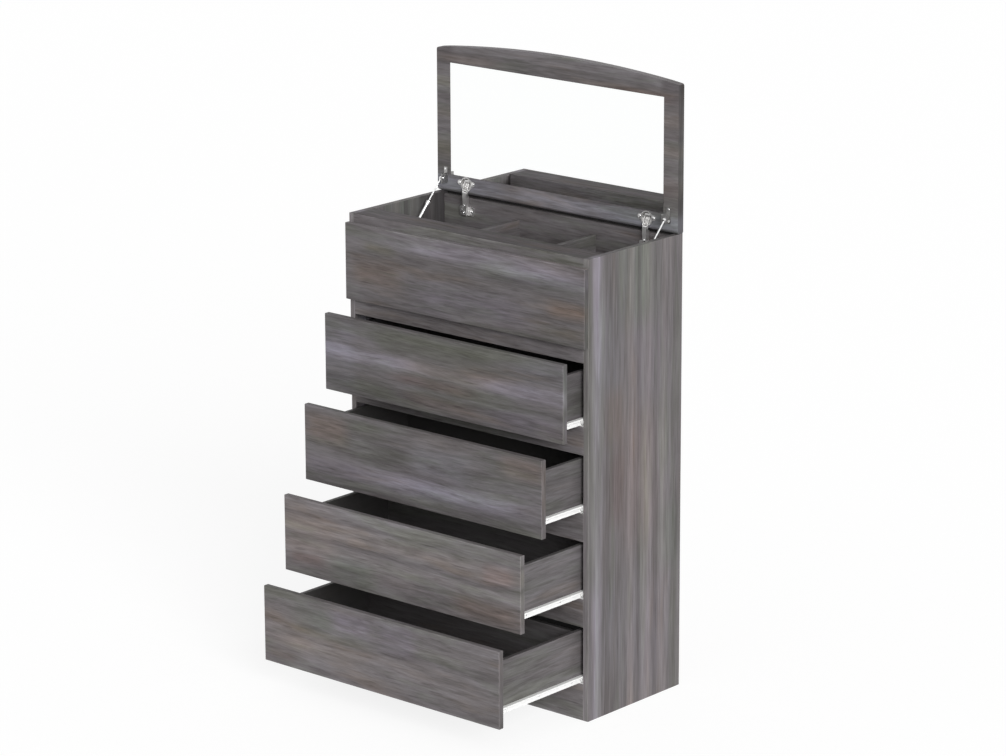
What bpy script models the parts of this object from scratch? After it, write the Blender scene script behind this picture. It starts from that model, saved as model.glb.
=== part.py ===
"""Tallboy: four drawers under a compartment with a lift-up mirror lid.

Metres, +Z up. The origin is on the floor under the middle of the plinth. +X is the right-hand side seen from
the front, and +Y runs to the back. The drawers stand open by steps and the lid stands upright.
"""

import math

import bmesh
import bpy
from mathutils import Matrix

# Boards, sheets and the gap between pieces that touch
BOARD = 0.016  # case and fronts
THICK_BOARD = 0.022  # lid
THIN_BOARD = 0.012  # drawer sides and backs, dividers
SHEET = 0.003  # back panel, drawer bottoms, mirror
SEAT = 0.0003

# Case
WIDTH = 0.804  # over the side panels, and of the fronts
DEPTH = 0.369  # of the side panels
SIDE_EASE = 0.0015  # eased outer front edge of a side panel
BACK_REBATE = 0.008  # back panel into each side panel
BACK_LIFT = 0.020  # back panel above the floor

# Fronts, lowest row first
FRONT_BASE = 0.075  # lower edge of the lowest front
FRONT_HEIGHT = 0.203
FRONT_GAP = 0.0225  # finger gap over each front
FRONT_EASE = 0.0015  # eased edges of the fronts
DRAWERS = 4

# Rails behind the finger gaps
RAIL_DROP = 0.030  # lower edge below the top of the front under it
RAIL_RISE = 0.022  # upper edge above the bottom of the front over it
COMPARTMENT_RAIL_DROP = 0.0185

# Compartment
TOP_RAIL_DEPTH = 0.076
TOP_RAIL_THICKNESS = 0.040  # closes the finger gap under the lid and backs the false front
COMPARTMENT_BACK_DROP = 0.008  # back board below the tops of the side panels
DIVIDERS = 2
DIVIDER_DROP = 0.041  # dividers below the tops of the side panels

# Drawer boxes
RUNNER_SPACE = 0.013  # between a drawer side and a side panel
BOX_HEADROOM = 0.011  # box under its rail
BOX_REAR_CLEARANCE = 0.021  # shut box in front of the back panel
BACK_BOARD_DROP = 0.010  # drawer back below the drawer sides
GROOVE_RISE = 0.012  # bottom sheet above the lower edge of the box
GROOVE_DEPTH = 0.006
RUNNER_HOLD = 0.015  # drawer member still on its cabinet member at full travel
OPEN_SHARE = 0.2455  # of the travel, one step for each drawer from the top

# Runners: folded steel sections
RUNNER_STEEL = 0.0012
RUNNER_HEIGHT = 0.019
RUNNER_LIP = 0.004  # turned-down edge of the drawer member
RUNNER_SHELF = 0.008  # ledge under the drawer side
CABINET_WEB_HEIGHT = 0.016
CABINET_RUNNER_START = 0.001  # behind the front edge of the side panel
ROLLER_WIDTH = 0.006
AXLE_RADIUS = 0.0025

# Lid, upright at rest
LID_GAP = 0.001  # shut lid above the side panels
LID_OVERHANG = 0.0025  # past the side panels, each side
LID_REACH = 0.019  # corners of the shut lid past the case front
LID_BOW = 0.0235  # rise of the bowed front edge at its middle
LID_CORNER_RADIUS = 0.006
LID_AXIS_INSET = 0.009  # hinge axis behind the lid's inner face and above its rear edge
LID_AXIS_FROM_BACK = 0.014
LID_REAR_RADIUS = 0.005  # outer corner of the rear edge, so that it clears a wall as the lid turns
LID_ROUNDING_TRIM = 10  # degrees at the ends of the rounded rear edge, where it runs out straight
MIRROR_STILE = 0.047  # board beside the mirror
MIRROR_REAR_RAIL = 0.048  # board between the mirror and the hinge edge
MIRROR_FRONT_RAIL = 0.037  # board between the mirror and the lid's corners

# Cup hinges
HINGE_FROM_SIDE = 0.098  # hinge centre from the outer face of the side panel
CUP_RADIUS = 0.0172
CUP_DEPTH = 0.011
CUP_WALL = 0.0012
CUP_SETBACK = 0.028  # cup centre from the lid's rear edge
FLANGE_THICKNESS = 0.0012
FLANGE_MARGIN = 0.002
EAR_SPACING = 0.045
EAR_RADIUS = 0.007
EAR_RISE = 0.003
ARM_HALF_WIDTH = 0.0065
ARM_FRONT = 0.0185  # front of the arm ahead of the hinge axis
ARM_NOSE_DEPTH = 0.007
ARM_NOSE_TOP = 0.0005  # nose below the hinge axis
ARM_SHOULDER_DROP = 0.013  # shoulder below the hinge axis
ARM_CHAMFER = 0.0015
PLATE_LENGTH = 0.050
PLATE_HEIGHT = 0.024
PLATE_THICKNESS = 0.0025
PLATE_CORNER = 0.005
PLATE_DROP = 0.053  # plate centre below the hinge axis

# Lid stays
STAY_OPEN_LENGTH = 0.200  # pivot to pivot with the lid upright
STAY_OPEN_SLOPE = math.radians(47)
STUD_OUT = 0.018  # lid stud in front of the lid's inner face
STUD_UP = 0.029  # lid stud above the hinge axis
STAY_INSET = 0.009  # stay axis from the inner face of the side panel
TUBE_LENGTH = 0.125
TUBE_RADIUS = 0.005
TUBE_SOLID_END = 0.012
ROD_RADIUS = 0.002
ROD_LENGTH = 0.130
TUBE_EYE_RADIUS = 0.007
ROD_EYE_RADIUS = 0.005
EYE_THICKNESS = 0.004
PIN_RADIUS = 0.003
BRACKET_STEEL = 0.003
BRACKET_HEIGHT = 0.026
BRACKET_FOOT_HEIGHT = 0.042
BRACKET_FOOT_WIDTH = 0.012
BRACKET_FOOT_LIFT = 0.007  # middle of the foot above the stud
BRACKET_FOOT_SETBACK = 0.0005  # inner edge of the foot behind that of the ear
BRACKET_ROOT = 0.001  # foot let into the lid

# Facets of round shapes
ARC_STEPS = 8
BOW_STEPS = 24
ROUND_SIDES = 32
SMALL_ROUND_SIDES = 20
MERGE = 0.00001
FLAT_ANGLE = 0.0001  # faces that lie flatter than this to each other become one
CUT_MARGIN = 0.001  # cutters past the surface that they cut

# Worked-out sizes, in the case's frame: y = 0 at the front edges of the side panels
HALF_WIDTH = WIDTH / 2
INNER_HALF = HALF_WIDTH - BOARD
LID_HALF = HALF_WIDTH + LID_OVERHANG
ROW_PITCH = FRONT_HEIGHT + FRONT_GAP
FALSE_FRONT_BASE = FRONT_BASE + DRAWERS * ROW_PITCH
SIDE_HEIGHT = FALSE_FRONT_BASE + ROW_PITCH
BACK_Y = DEPTH - SHEET
COMPARTMENT_FLOOR_TOP = FALSE_FRONT_BASE + RAIL_RISE
COMPARTMENT_BACK_TOP = SIDE_HEIGHT - COMPARTMENT_BACK_DROP
COMPARTMENT_BACK_Y = BACK_Y - SEAT - BOARD
BOX_RISE = RAIL_RISE + 2 * RUNNER_STEEL + 3 * SEAT  # runner shelves stand on the rails
BOX_OUTER = INNER_HALF - RUNNER_SPACE
BOX_INNER = BOX_OUTER - THIN_BOARD
BOX_TOP = FRONT_HEIGHT - RAIL_DROP - BOX_HEADROOM
BOX_LENGTH = BACK_Y - BOX_REAR_CLEARANCE
TRAVEL = BOX_LENGTH - RUNNER_HOLD
ROLLER_RADIUS = (RUNNER_HEIGHT - RUNNER_STEEL - SEAT) / 2  # between the shelf and the top flange
AXIS_Y = DEPTH - LID_AXIS_FROM_BACK
AXIS_Z = SIDE_HEIGHT + LID_GAP + LID_AXIS_INSET
LID_LENGTH = AXIS_Y + LID_AXIS_INSET + LID_REACH
STAY_X = INNER_HALF - STAY_INSET
STUD_Y = AXIS_Y - LID_AXIS_INSET - STUD_OUT
STUD_Z = AXIS_Z + STUD_UP
STAY_FOOT_Y = STUD_Y - STAY_OPEN_LENGTH * math.cos(STAY_OPEN_SLOPE)
STAY_FOOT_Z = STUD_Z - STAY_OPEN_LENGTH * math.sin(STAY_OPEN_SLOPE)

SIDES = {"left": -1, "right": 1}
# Each plane's two drawing directions, then the direction in which its outline is drawn out
PLANES = {
    "XY": Matrix(((1, 0, 0), (0, 1, 0), (0, 0, 1))),
    "YZ": Matrix(((0, 0, 1), (1, 0, 0), (0, 1, 0))),
    "XZ": Matrix(((1, 0, 0), (0, 0, -1), (0, 1, 0))),
}


def new_collection(name):
    made = bpy.data.collections.new(name)
    bpy.context.scene.collection.children.link(made)
    return made


def new_material(name, colour, roughness, metallic=0.0):
    made = bpy.data.materials.new(name)
    made.use_nodes = True
    shader = made.node_tree.nodes["Principled BSDF"]
    shader.inputs["Base Color"].default_value = (*colour, 1.0)
    shader.inputs["Roughness"].default_value = roughness
    shader.inputs["Metallic"].default_value = metallic
    return made


def new_empty(name, parent, location, slope=0.0):
    """A frame to hang pieces on, turned about X by slope."""
    made = bpy.data.objects.new(name, None)
    parts.objects.link(made)
    made.parent = parent
    made.location = location
    made.rotation_euler.x = slope
    return made


def add_piece(name, mesh, parent, finish, location=(0, 0, 0)):
    made = bpy.data.objects.new(name, mesh)
    parts.objects.link(made)
    made.parent = parent
    made.location = location
    mesh.materials.append(finish)
    return made


def add_cutter(name, mesh, parent, location=(0, 0, 0)):
    """A helper that takes part in a Boolean and isn't a piece itself."""
    made = bpy.data.objects.new(name, mesh)
    cutters.objects.link(made)
    made.parent = parent
    made.location = location
    made.hide_render = True
    made.display_type = "WIRE"
    return made


def combine(target, other, operation):
    step = target.modifiers.new(other.name, "BOOLEAN")
    step.operation = operation
    step.object = other


def ease_edges(piece, width):
    step = piece.modifiers.new("eased edges", "BEVEL")
    step.width = width
    step.segments = 2


def box_mesh(name, low, high):
    """A box's mesh about its own middle, and that middle."""
    mesh = bpy.data.meshes.new(name)
    work = bmesh.new()
    bmesh.ops.create_cube(work, size=1.0)
    bmesh.ops.scale(work, vec=[b - a for a, b in zip(low, high)], verts=work.verts)
    work.to_mesh(mesh)
    work.free()
    return mesh, [(a + b) / 2 for a, b in zip(low, high)]


def board(name, parent, low, high, finish):
    mesh, middle = box_mesh(name, low, high)
    return add_piece(name, mesh, parent, finish, middle)


def box_cutter(name, parent, low, high):
    mesh, middle = box_mesh(name, low, high)
    return add_cutter(name, mesh, parent, middle)


def arc(centre, radius, start, end, steps=ARC_STEPS):
    """Points on a circle from one angle to another, in degrees."""
    points = []
    for step in range(steps + 1):
        angle = math.radians(start + (end - start) * step / steps)
        points.append((centre[0] + radius * math.cos(angle), centre[1] + radius * math.sin(angle)))
    return points


def drawn_out(name, outline, plane, start, end):
    """The mesh of a flat outline drawn out between two places on the third axis."""
    curve = bpy.data.curves.new(name, "CURVE")
    curve.dimensions = "2D"
    curve.fill_mode = "BOTH"
    curve.extrude = (end - start) / 2
    line = curve.splines.new("POLY")
    line.points.add(len(outline) - 1)
    for point, (u, v) in zip(line.points, outline):
        point.co = (u, v, 0.0, 1.0)
    line.use_cyclic_u = True
    guide = bpy.data.objects.new(name, curve)
    bpy.context.scene.collection.objects.link(guide)
    graph = bpy.context.evaluated_depsgraph_get()
    mesh = bpy.data.meshes.new_from_object(guide.evaluated_get(graph))
    bpy.data.objects.remove(guide)
    bpy.data.curves.remove(curve)
    work = bmesh.new()
    work.from_mesh(mesh)
    bmesh.ops.remove_doubles(work, verts=work.verts, dist=MERGE)
    bmesh.ops.dissolve_limit(work, angle_limit=FLAT_ANGLE, verts=work.verts, edges=work.edges)
    bmesh.ops.recalc_face_normals(work, faces=work.faces)
    third_axis = PLANES[plane].col[2]
    sense = sum(third_axis)
    bmesh.ops.transform(work, matrix=PLANES[plane].to_4x4(), verts=work.verts)
    bmesh.ops.translate(work, vec=third_axis * sense * (start + end) / 2, verts=work.verts)
    work.to_mesh(mesh)
    work.free()
    return mesh


def round_bar(name, radius, plane, start, end, centre=(0, 0), sides=ROUND_SIDES):
    """The mesh of a cylinder whose axis stands on a plane, between two places on that axis."""
    mesh = bpy.data.meshes.new(name)
    work = bmesh.new()
    bmesh.ops.create_cone(
        work, cap_ends=True, segments=sides, radius1=radius, radius2=radius, depth=end - start
    )
    third_axis = PLANES[plane].col[2]
    sense = sum(third_axis)
    bmesh.ops.transform(work, matrix=PLANES[plane].to_4x4(), verts=work.verts)
    offset = third_axis * sense * (start + end) / 2
    offset += PLANES[plane].col[0] * centre[0] + PLANES[plane].col[1] * centre[1]
    bmesh.ops.translate(work, vec=offset, verts=work.verts)
    work.to_mesh(mesh)
    work.free()
    mesh.shade_smooth()
    mesh.set_sharp_from_angle(angle=math.radians(40))
    return mesh


def mirrored(outline, side):
    """An outline drawn for the right-hand side, turned over for the left."""
    return [(side * u, v) for u, v in outline]


def build_side_panels():
    """Constant section in plan: an eased outer front edge and a rebate for the back panel."""
    outline = [(INNER_HALF, 0)]
    outline += arc((HALF_WIDTH - SIDE_EASE, SIDE_EASE), SIDE_EASE, -90, 0, ARC_STEPS // 2)
    outline += [
        (HALF_WIDTH, DEPTH),
        (INNER_HALF + BACK_REBATE, DEPTH),
        (INNER_HALF + BACK_REBATE, BACK_Y - SEAT),
        (INNER_HALF, BACK_Y - SEAT),
    ]
    for word, side in SIDES.items():
        mesh = drawn_out("side_panel_" + word, mirrored(outline, side), "XY", 0, SIDE_HEIGHT)
        add_piece("side_panel_" + word, mesh, case, grey_oak)


def cross_board(name, y_low, y_high, z_low, z_high):
    """A board fitted between the side panels."""
    half = INNER_HALF - SEAT
    return board(name, case, (-half, y_low, z_low), (half, y_high, z_high), grey_oak)


def build_case_boards():
    half = INNER_HALF + BACK_REBATE - SEAT
    board("back_panel", case, (-half, BACK_Y, BACK_LIFT), (half, DEPTH, SIDE_HEIGHT), hardboard)
    cross_board("plinth", 0, BOARD, 0, FRONT_BASE + RAIL_RISE)
    for number in range(1, DRAWERS):
        top = front_base(number) + RAIL_RISE
        bottom = front_base(number + 1) + FRONT_HEIGHT - RAIL_DROP
        cross_board(f"drawer_rail_{number}", 0, BOARD, bottom, top)
    rail_bottom = front_base(1) + FRONT_HEIGHT - COMPARTMENT_RAIL_DROP
    cross_board("compartment_rail", 0, BOARD, rail_bottom, COMPARTMENT_FLOOR_TOP)


def build_compartment():
    floor_base = COMPARTMENT_FLOOR_TOP - BOARD
    back_y = COMPARTMENT_BACK_Y
    seat_z = COMPARTMENT_FLOOR_TOP + SEAT
    cross_board("compartment_floor", BOARD + SEAT, BACK_Y - SEAT, floor_base, COMPARTMENT_FLOOR_TOP)
    cross_board("compartment_back", back_y, BACK_Y - SEAT, seat_z, COMPARTMENT_BACK_TOP)
    cross_board("top_rail", 0, TOP_RAIL_DEPTH, SIDE_HEIGHT - TOP_RAIL_THICKNESS, SIDE_HEIGHT)
    for number in range(DIVIDERS):
        middle = INNER_HALF * (2 * (number + 1) / (DIVIDERS + 1) - 1)
        low = (middle - THIN_BOARD / 2, 0, seat_z)
        high = (middle + THIN_BOARD / 2, back_y - SEAT, SIDE_HEIGHT - DIVIDER_DROP)
        board(f"divider_{number + 1}", case, low, high, grey_oak)


def build_false_front():
    """Overlays the case like a drawer front, and leaves the same finger gap under the lid."""
    low = (-HALF_WIDTH, -SEAT - BOARD, FALSE_FRONT_BASE)
    high = (HALF_WIDTH, -SEAT, FALSE_FRONT_BASE + FRONT_HEIGHT)
    ease_edges(board("false_front", case, low, high, grey_oak), FRONT_EASE)


def front_base(number):
    """Height of the lower edge of a drawer's front, drawers counted from the top."""
    return FRONT_BASE + (DRAWERS - number) * ROW_PITCH


def drawer_runner_outline():
    """Section beside a drawer side: ledge under it, web against it, top flange with a turned-down lip."""
    web = BOX_OUTER + SEAT
    steel = RUNNER_STEEL
    edge = INNER_HALF - SEAT - RUNNER_STEEL - SEAT
    base = BOX_RISE - SEAT - steel
    top = base + RUNNER_HEIGHT
    return [
        (web - RUNNER_SHELF, base),
        (web + steel, base),
        (web + steel, top - steel),
        (edge - steel, top - steel),
        (edge - steel, top - RUNNER_LIP),
        (edge, top - RUNNER_LIP),
        (edge, top),
        (web, top),
        (web, base + steel),
        (web - RUNNER_SHELF, base + steel),
    ]


def cabinet_runner_outline():
    """Section beside a side panel: web screwed to it and a shelf that carries the drawer member."""
    web = INNER_HALF - SEAT
    steel = RUNNER_STEEL
    base = RAIL_RISE + SEAT
    return [
        (BOX_OUTER, base),
        (web, base),
        (web, base + CABINET_WEB_HEIGHT),
        (web - steel, base + CABINET_WEB_HEIGHT),
        (web - steel, base + steel),
        (BOX_OUTER, base + steel),
    ]


def build_cabinet_runners(number):
    base = front_base(number)
    start = CABINET_RUNNER_START
    roller_at = (start + ROLLER_RADIUS, RAIL_RISE + SEAT + RUNNER_STEEL + SEAT + ROLLER_RADIUS)
    roller_end = INNER_HALF - 3 * SEAT - 2 * RUNNER_STEEL
    for word, side in SIDES.items():
        name = f"cabinet_runner_{number}_{word}"
        outline = mirrored(cabinet_runner_outline(), side)
        mesh = drawn_out(name, outline, "XZ", start, BOX_LENGTH)
        runner = add_piece(name, mesh, case, white_steel, (0, 0, base))
        ends = sorted((side * (roller_end - ROLLER_WIDTH), side * roller_end))
        roller = round_bar(name + "_roller", ROLLER_RADIUS, "YZ", *ends, roller_at, SMALL_ROUND_SIDES)
        axle_end = INNER_HALF - SEAT - RUNNER_STEEL / 2
        ends = sorted((side * (roller_end - ROLLER_WIDTH / 2), side * axle_end))
        axle = round_bar(name + "_axle", AXLE_RADIUS, "YZ", *ends, roller_at, SMALL_ROUND_SIDES)
        roller = add_cutter(name + "_roller", roller, case, (0, 0, base))
        combine(roller, add_cutter(name + "_axle", axle, case, (0, 0, base)), "UNION")
        combine(runner, roller, "UNION")


def build_drawer(number):
    """A drawer in its own frame: y = 0 behind the front, z = 0 at the front's lower edge."""
    opening = number * OPEN_SHARE * TRAVEL
    frame = new_empty(f"drawer_{number}_slide", case, (0, -opening, front_base(number)))
    front = board(
        f"drawer_{number}_front",
        frame,
        (-HALF_WIDTH, -SEAT - BOARD, 0),
        (HALF_WIDTH, -SEAT, FRONT_HEIGHT),
        grey_oak,
    )
    ease_edges(front, FRONT_EASE)
    sheet_low = BOX_RISE + GROOVE_RISE
    sheet_high = sheet_low + SHEET
    groove_half = BOX_INNER + GROOVE_DEPTH
    groove = box_cutter(
        f"drawer_{number}_groove",
        frame,
        (-groove_half, -SEAT - GROOVE_DEPTH, sheet_low - SEAT),
        (groove_half, BOX_LENGTH + CUT_MARGIN, sheet_high + SEAT),
    )
    combine(front, groove, "DIFFERENCE")
    for word, side in SIDES.items():
        ends = sorted((side * BOX_INNER, side * BOX_OUTER))
        low = (ends[0], 0, BOX_RISE)
        high = (ends[1], BOX_LENGTH, BOX_TOP)
        combine(board(f"drawer_{number}_side_{word}", frame, low, high, grey_oak), groove, "DIFFERENCE")
        name = f"drawer_runner_{number}_{word}"
        mesh = drawn_out(name, mirrored(drawer_runner_outline(), side), "XZ", 0, BOX_LENGTH)
        add_piece(name, mesh, frame, white_steel)
    half = BOX_INNER - SEAT
    low = (-half, BOX_LENGTH - THIN_BOARD, sheet_high + SEAT)
    board(f"drawer_{number}_back", frame, low, (half, BOX_LENGTH, BOX_TOP - BACK_BOARD_DROP), grey_oak)
    half = groove_half - SEAT
    low = (-half, -GROOVE_DEPTH, sheet_low)
    board(f"drawer_{number}_bottom", frame, low, (half, BOX_LENGTH, sheet_high), hardboard)


def lid_outline():
    """Lid seen square on, z = 0 at the hinge axis: bowed front edge, eased corners, rear edge left long."""
    low = -LID_AXIS_INSET - CUT_MARGIN
    high = LID_LENGTH - LID_AXIS_INSET
    radius = (LID_HALF**2 + LID_BOW**2) / (2 * LID_BOW)
    reach = math.degrees(math.asin(LID_HALF / radius))
    bow = arc((0, high + LID_BOW - radius), radius, 90 - reach, 90 + reach, BOW_STEPS)
    corner = LID_CORNER_RADIUS
    right = arc((LID_HALF - corner, high - corner), corner, 0, 90 - reach, ARC_STEPS // 2)
    left = arc((corner - LID_HALF, high - corner), corner, 90 + reach, 180, ARC_STEPS // 2)
    return [(-LID_HALF, low), (LID_HALF, low), *right, *bow[1:-1], *left]


def run_out(radius):
    """Height over an arc's centre at which the straight end of its cutter is clear of the board's face."""
    trim = math.radians(LID_ROUNDING_TRIM)
    length = (radius * (1 - math.cos(trim)) + CUT_MARGIN) / math.sin(trim)
    return length * math.cos(trim) - radius * math.sin(trim)


def lid_edge_outline():
    """What is cut from the lid's rear edge: its inner corner is round about the axis and turns in place."""
    inner = -LID_AXIS_INSET
    outer = inner + THICK_BOARD
    centre = (outer - LID_REAR_RADIUS, inner + LID_REAR_RADIUS)
    below = inner - 2 * CUT_MARGIN
    return [
        (inner - CUT_MARGIN, run_out(LID_AXIS_INSET)),
        *arc((0, 0), LID_AXIS_INSET, 180 + LID_ROUNDING_TRIM, 270),
        *arc(centre, LID_REAR_RADIUS, 270, 360 - LID_ROUNDING_TRIM),
        (outer + CUT_MARGIN, centre[1] + run_out(LID_REAR_RADIUS)),
        (outer + CUT_MARGIN, below),
        (inner - CUT_MARGIN, below),
    ]


def build_lid(axis):
    """Lid in the hinge axis's frame, with a rounded rear edge and a recess for the mirror."""
    inner = -LID_AXIS_INSET
    lid = drawn_out("lid_panel", lid_outline(), "XZ", inner, inner + THICK_BOARD)
    lid = add_piece("lid_panel", lid, axis, grey_oak)
    half = LID_HALF + CUT_MARGIN
    edge = drawn_out("lid_rear_edge", lid_edge_outline(), "YZ", -half, half)
    combine(lid, add_cutter("lid_rear_edge", edge, axis), "DIFFERENCE")
    half = LID_HALF - MIRROR_STILE
    low = (-half, inner, inner + MIRROR_REAR_RAIL)
    high = (half, inner + SHEET, inner + LID_LENGTH - MIRROR_FRONT_RAIL)
    board("mirror", axis, low, high, silvered_glass)
    low = (low[0] - SEAT, inner - CUT_MARGIN, low[2] - SEAT)
    high = (high[0] + SEAT, high[1] + SEAT, high[2] + SEAT)
    combine(lid, box_cutter("mirror_recess", axis, low, high), "DIFFERENCE")
    return lid


def build_hinge_cup(word, side, axis, lid):
    """Pressed cup in the lid with a flange on its face, and two ears for the screws."""
    name = "hinge_cup_" + word
    inner = -LID_AXIS_INSET
    face = inner - SEAT
    middle = (side * (HALF_WIDTH - HINGE_FROM_SIDE), CUP_SETBACK - LID_AXIS_INSET)
    floor = inner + CUP_DEPTH
    cup = round_bar(name, CUP_RADIUS, "XZ", face - FLANGE_THICKNESS / 2, floor, middle)
    cup = add_piece(name, cup, axis, nickel)
    rim = round_bar(name + "_rim", CUP_RADIUS + FLANGE_MARGIN, "XZ", face - FLANGE_THICKNESS, face, middle)
    ear_z = middle[1] + EAR_RISE
    ears = arc((middle[0] + EAR_SPACING / 2, ear_z), EAR_RADIUS, -90, 90)
    ears += arc((middle[0] - EAR_SPACING / 2, ear_z), EAR_RADIUS, 90, 270)
    ears = drawn_out(name + "_ears", ears, "XZ", face - FLANGE_THICKNESS, face)
    rim = add_cutter(name + "_rim", rim, axis)
    combine(rim, add_cutter(name + "_ears", ears, axis), "UNION")
    combine(cup, rim, "UNION")
    mouth = face - FLANGE_THICKNESS - CUT_MARGIN
    hollow = round_bar(name + "_hollow", CUP_RADIUS - CUP_WALL, "XZ", mouth, floor - CUP_WALL, middle)
    combine(cup, add_cutter(name + "_hollow", hollow, axis), "DIFFERENCE")
    bore = round_bar(name + "_bore", CUP_RADIUS + 2 * SEAT, "XZ", inner - CUT_MARGIN, floor + SEAT, middle)
    combine(lid, add_cutter(name + "_bore", bore, axis), "DIFFERENCE")


def build_hinge_arm(word, side):
    """Base plate on the compartment back, and an arm whose nose enters the cup as the lid shuts."""
    name = "hinge_arm_" + word
    middle = side * (HALF_WIDTH - HINGE_FROM_SIDE)
    wall = COMPARTMENT_BACK_Y - SEAT
    front = AXIS_Y - ARM_FRONT
    nose = front + ARM_NOSE_DEPTH
    foot = AXIS_Z - PLATE_DROP - PLATE_HEIGHT / 2 + ARM_CHAMFER
    shoulder = AXIS_Z - ARM_SHOULDER_DROP
    top = AXIS_Z - ARM_NOSE_TOP
    rear = wall - PLATE_THICKNESS / 2
    outline = [
        (rear, foot),
        (front + ARM_CHAMFER, foot),
        (front, foot + ARM_CHAMFER),
        (front, top - ARM_CHAMFER),
        (front + ARM_CHAMFER, top),
        (nose - ARM_CHAMFER, top),
        (nose, top - ARM_CHAMFER),
        (nose, shoulder + (rear - nose)),
        (rear, shoulder),
    ]
    ends = (middle - ARM_HALF_WIDTH, middle + ARM_HALF_WIDTH)
    arm = add_piece(name, drawn_out(name, outline, "YZ", *ends), case, nickel)
    reach_x = PLATE_LENGTH / 2 - PLATE_CORNER
    reach_z = PLATE_HEIGHT / 2 - PLATE_CORNER
    plate_z = AXIS_Z - PLATE_DROP
    plate = []
    for quarter, (sign_x, sign_z) in enumerate(((1, 1), (-1, 1), (-1, -1), (1, -1))):
        corner = (middle + sign_x * reach_x, plate_z + sign_z * reach_z)
        plate += arc(corner, PLATE_CORNER, 90 * quarter, 90 * quarter + 90, ARC_STEPS // 2)
    plate = drawn_out(name + "_plate", plate, "XZ", wall - PLATE_THICKNESS, wall)
    combine(arm, add_cutter(name + "_plate", plate, case), "UNION")


def build_stay_bracket(word, side, axis, lid):
    """Steel foot on the lid's face with an ear and a boss beside the stay's upper eye."""
    name = "stay_bracket_" + word
    face = -LID_AXIS_INSET
    eye_face = STAY_X - EYE_THICKNESS / 2 - SEAT
    ear_outer = eye_face - BRACKET_STEEL
    ear_inner = ear_outer - BRACKET_STEEL
    ends = sorted((side * ear_inner, side * ear_outer))
    tip = face - STUD_OUT - ROD_EYE_RADIUS
    low = (ends[0], tip, STUD_UP - BRACKET_HEIGHT / 2)
    high = (ends[1], face + BRACKET_ROOT, STUD_UP + BRACKET_HEIGHT / 2)
    ear = box_cutter(name + "_ear", axis, low, high)
    foot_inner = ear_inner + BRACKET_FOOT_SETBACK
    foot_z = STUD_UP + BRACKET_FOOT_LIFT
    ends = sorted((side * foot_inner, side * (foot_inner + BRACKET_FOOT_WIDTH)))
    low = (ends[0], face - BRACKET_STEEL / 2, foot_z - BRACKET_FOOT_HEIGHT / 2)
    high = (ends[1], face + BRACKET_ROOT / 2, foot_z + BRACKET_FOOT_HEIGHT / 2)
    combine(ear, box_cutter(name + "_foot", axis, low, high), "UNION")
    ends = sorted((side * (ear_inner + BRACKET_STEEL / 2), side * eye_face))
    boss = round_bar(name + "_boss", PIN_RADIUS, "YZ", *ends, (face - STUD_OUT, STUD_UP), SMALL_ROUND_SIDES)
    combine(ear, add_cutter(name + "_boss", boss, axis), "UNION")
    combine(lid, ear, "UNION")


def build_stay(word, side):
    """A tube that tilts on the side panel and a rod that slides in it, both drawn along the stay's own z."""
    slope = STAY_OPEN_SLOPE - math.pi / 2
    pivot = new_empty("stay_pivot_" + word, case, (0, STAY_FOOT_Y, STAY_FOOT_Z), slope)
    x = side * STAY_X
    eye_ends = (x - EYE_THICKNESS / 2, x + EYE_THICKNESS / 2)

    name = "stay_tube_" + word
    tube = round_bar(name, TUBE_RADIUS, "XY", 0, TUBE_LENGTH, (x, 0), SMALL_ROUND_SIDES)
    tube = add_piece(name, tube, pivot, bright_steel)
    eye = round_bar(name + "_eye", TUBE_EYE_RADIUS, "YZ", *eye_ends)
    combine(tube, add_cutter(name + "_eye", eye, pivot), "UNION")
    ends = sorted((x, side * (INNER_HALF - SEAT)))
    pin = round_bar(name + "_pin", PIN_RADIUS, "YZ", *ends, (0, 0), SMALL_ROUND_SIDES)
    combine(tube, add_cutter(name + "_pin", pin, pivot), "UNION")
    bore_radius = ROD_RADIUS + SEAT
    bore_end = TUBE_LENGTH + CUT_MARGIN
    bore = round_bar(name + "_bore", bore_radius, "XY", TUBE_SOLID_END, bore_end, (x, 0), SMALL_ROUND_SIDES)
    combine(tube, add_cutter(name + "_bore", bore, pivot), "DIFFERENCE")

    name = "stay_rod_" + word
    tail = STAY_OPEN_LENGTH - ROD_LENGTH
    rod = round_bar(name, ROD_RADIUS, "XY", tail, STAY_OPEN_LENGTH, (x, 0), SMALL_ROUND_SIDES)
    rod = add_piece(name, rod, pivot, bright_steel)
    eye = round_bar(name + "_eye", ROD_EYE_RADIUS, "YZ", *eye_ends, (0, STAY_OPEN_LENGTH))
    combine(rod, add_cutter(name + "_eye", eye, pivot), "UNION")


for old in list(bpy.data.objects):
    bpy.data.objects.remove(old)

parts = new_collection("tallboy")
cutters = new_collection("tallboy_cutters")

grey_oak = new_material("grey_oak_laminate", (0.13, 0.12, 0.115), 0.45)
hardboard = new_material("grey_hardboard", (0.10, 0.09, 0.085), 0.7)
white_steel = new_material("white_coated_steel", (0.85, 0.85, 0.84), 0.35)
nickel = new_material("nickel_plate", (0.62, 0.61, 0.60), 0.3, 1.0)
bright_steel = new_material("bright_steel", (0.75, 0.75, 0.75), 0.2, 1.0)
silvered_glass = new_material("silvered_glass", (0.9, 0.9, 0.9), 0.02, 1.0)

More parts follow.
